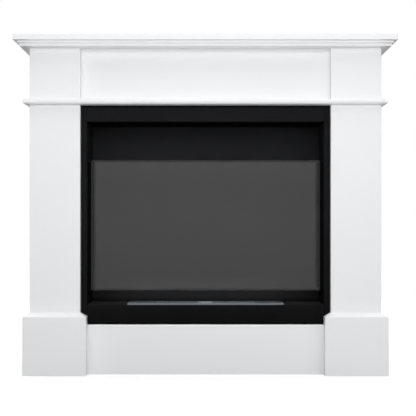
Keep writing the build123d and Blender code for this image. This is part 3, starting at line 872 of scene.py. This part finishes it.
class FIREPLACE_OT_wool(bpy.types.Operator):
    """Make the tufted wool that soaks up the fuel"""

    bl_idname = "fireplace.wool"
    bl_label = "Burner wool"

    def execute(self, context):
        details = context.scene.fireplace_details
        wool = ceramic_wool("ceramic_wool")
        low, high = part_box("burner_wool")
        bed = bpy.data.objects.new("wool_bed", self.tufted_block(low, high))
        bed.data.materials.append(wool)
        context.scene.collection.objects.link(bed)
        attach(bed, FIXED_BODY)
        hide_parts("burner_wool")
        margin = details.fibre_length * FIBRE_MARGIN
        left, right = low.x + margin, high.x - margin
        front, rear = low.y + margin, high.y - margin
        flat = high.z - FIBRE_SINK
        patch = [(left, front, flat), (right, front, flat), (right, rear, flat), (left, rear, flat)]
        sizes = {
            "Density": details.fibre_count / ((high.x - low.x) * (high.y - low.y)),
            "Length": details.fibre_length,
            "Thickness": details.fibre_thickness,
            "Bow": details.fibre_bow,
            "Material": wool,
        }
        fibres = grown("wool_fibres", fibre_tree(), patch, [(0, 1, 2, 3)], sizes)
        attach(fibres, FIXED_BODY)
        return {"FINISHED"}

    @staticmethod
    def tufted_block(low, high):
        """Return a block whose top is tufted and lies at or under the given height."""
        form = bmesh.new()
        bmesh.ops.create_grid(form, x_segments=84, y_segments=18, size=0.5)
        size = high - low
        for vertex in form.verts:
            place = Vector((vertex.co.x * size.x, vertex.co.y * size.y, 0))
            tuft = max(-1.0, min(1.0, noise.fractal(place * TUFT_SCALE, *TUFT_NOISE)))
            drop = TUFT_DEPTH if vertex.is_boundary else TUFT_DEPTH / 2 * (1 - tuft)
            top = Vector(((low.x + high.x) / 2, (low.y + high.y) / 2, high.z - drop))
            vertex.co = top + place
        rims = [edge for edge in form.edges if edge.is_boundary]
        tops = form.faces[:]
        under = {top: form.verts.new((top.co.x, top.co.y, low.z)) for top in form.verts[:]}
        for face in tops:
            first, *others = face.verts
            form.faces.new([under[corner] for corner in (first, *reversed(others))])
        for edge in rims:
            first, second = edge.verts
            form.faces.new((first, second, under[second], under[first]))
        bmesh.ops.recalc_face_normals(form, faces=form.faces[:])
        mesh = bpy.data.meshes.new("wool_bed")
        form.to_mesh(mesh)
        form.free()
        for face in mesh.polygons:
            face.use_smooth = face.normal.z > SMOOTH_TOP
        return mesh


class FIREPLACE_OT_glass(bpy.types.Operator):
    """Give the pane its glass and the bonding strips their black"""

    bl_idname = "fireplace.glass"
    bl_label = "Glass"

    def execute(self, context):
        dress(pane_glass("smoked_glass", context.scene.fireplace_finish), ["glass_pane"])
        dress(bonding_tape("bonding_tape"), ["firebox_pads"] + both("glass_tape"))
        return {"FINISHED"}


class FIREPLACE_OT_stage(bpy.types.Operator):
    """Set up the camera, the soft light, the white room and the floor"""

    bl_idname = "fireplace.stage"
    bl_label = "Stage"

    def execute(self, context):
        stage = context.scene.fireplace_stage
        self.place_camera(context.scene, stage)
        self.light_room(context.scene, stage)
        self.lay_floor(context.scene, stage)
        context.scene.view_settings.view_transform = "Standard"
        return {"FINISHED"}

    @staticmethod
    def place_camera(scene, stage):
        lens = bpy.data.cameras.new("camera")
        lens.sensor_width = SENSOR
        lens.lens = stage.focal_widths * lens.sensor_width
        lens.shift_x = stage.shift_x
        lens.shift_y = stage.shift_y
        camera = bpy.data.objects.new("camera", lens)
        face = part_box("pilaster_front_left")[0].y
        camera.location = (0, face - stage.camera_distance, stage.camera_height)
        camera.rotation_euler = (math.pi / 2, 0, 0)
        scene.collection.objects.link(camera)
        scene.camera = camera

    @staticmethod
    def seen_directly(tree):
        """Return 1 for camera, mirror and see-through rays, 0 for rays that light the object."""
        ray = add_node(tree, "ShaderNodeLightPath").outputs
        seen = larger(tree, ray["Is Camera Ray"], ray["Is Glossy Ray"])
        return larger(tree, seen, ray["Is Transmission Ray"])

    def light_room(self, scene, stage):
        world = bpy.data.worlds.new("white_room")
        world.use_nodes = True
        tree = world.node_tree
        background = tree.nodes["Background"]
        background.inputs["Color"].default_value = WHITE
        strength = remap(tree, self.seen_directly(tree), (0, 1), (stage.sky, 1.0))
        tree.links.new(strength, background.inputs["Strength"])
        scene.world = world
        for softbox in SOFTBOXES:
            self.hang_softbox(scene, softbox, getattr(stage, softbox.power))

    @staticmethod
    def hang_softbox(scene, softbox, power):
        lamp = bpy.data.lights.new(softbox.name, "AREA")
        lamp.shape = "RECTANGLE"
        lamp.size, lamp.size_y = softbox.size
        lamp.energy = power
        holder = bpy.data.objects.new(softbox.name, lamp)
        holder.location = softbox.place
        aim = Vector(softbox.target) - Vector(softbox.place)
        holder.rotation_euler = aim.to_track_quat("-Z", "Y").to_euler()
        holder.visible_camera = False
        holder.visible_glossy = False
        holder.visible_transmission = False
        scene.collection.objects.link(holder)

    def lay_floor(self, scene, stage):
        """Lay a floor that takes the shadow near the object and fades into the white room."""
        mesh = bpy.data.meshes.new("floor")
        reach = FLOOR_REACH
        corners = [(-reach, -reach, 0), (reach, -reach, 0), (reach, reach, 0), (-reach, reach, 0)]
        mesh.from_pydata(corners, [], [(0, 1, 2, 3)])
        floor = bpy.data.objects.new("floor", mesh)
        floor.location.z = -FLOOR_DROP
        scene.collection.objects.link(floor)
        material, tree, surface = new_material("white_floor")
        place = add_node(tree, "ShaderNodeTexCoord").outputs["Object"]
        distance = add_node(
            tree, "ShaderNodeVectorMath", {0: place}, operation="LENGTH"
        ).outputs["Value"]
        near = remap(tree, distance, FLOOR_TONE_FADE, (1, 0))
        beside = remap(tree, distance, FLOOR_GLOW_FADE, (1, 0))
        feed(tree, surface, "Base Color", mix_colour(tree, near, BLACK, grey(stage.floor_tone)))
        preset(surface, {"Roughness": 0.9, "Specular IOR Level": 0.0, "Emission Color": WHITE})
        glow = remap(tree, beside, (0, 1), (1, stage.floor_glow))
        feed(tree, surface, "Emission Strength", times(tree, self.seen_directly(tree), glow))
        mesh.materials.append(material)


class FIREPLACE_PT_panel(bpy.types.Panel):
    bl_idname = "FIREPLACE_PT_panel"
    bl_label = "Fireplace"
    bl_space_type = "VIEW_3D"
    bl_region_type = "UI"
    bl_category = "Fireplace"

    def draw(self, context):
        column = self.layout.column()
        for operator in OPERATORS:
            column.operator(operator.bl_idname)
        for setting in SETTINGS:
            group = getattr(context.scene, setting)
            for name in group.bl_rna.properties.keys():
                if name not in {"rna_type", "name"}:
                    column.prop(group, name)


SETTINGS = {
    "fireplace_finish": FinishSettings,
    "fireplace_details": DetailSettings,
    "fireplace_stage": StageSettings,
}
OPERATORS = (
    FIREPLACE_OT_stage,
    FIREPLACE_OT_surround,
    FIREPLACE_OT_carcass,
    FIREPLACE_OT_firebox,
    FIREPLACE_OT_heat_shield,
    FIREPLACE_OT_burner,
    FIREPLACE_OT_wool,
    FIREPLACE_OT_glass,
)
CLASSES = (*SETTINGS.values(), *OPERATORS, FIREPLACE_PT_panel)


def register():
    for group in CLASSES:
        bpy.utils.register_class(group)
    for name, group in SETTINGS.items():
        setattr(bpy.types.Scene, name, PointerProperty(type=group))


def unregister():
    for name in SETTINGS:
        delattr(bpy.types.Scene, name)
    for group in reversed(CLASSES):
        bpy.utils.unregister_class(group)


def main():
    register()
    for operator in OPERATORS:
        family, name = operator.bl_idname.split(".")
        getattr(getattr(bpy.ops, family), name)()


if __name__ == "__main__":
    main()
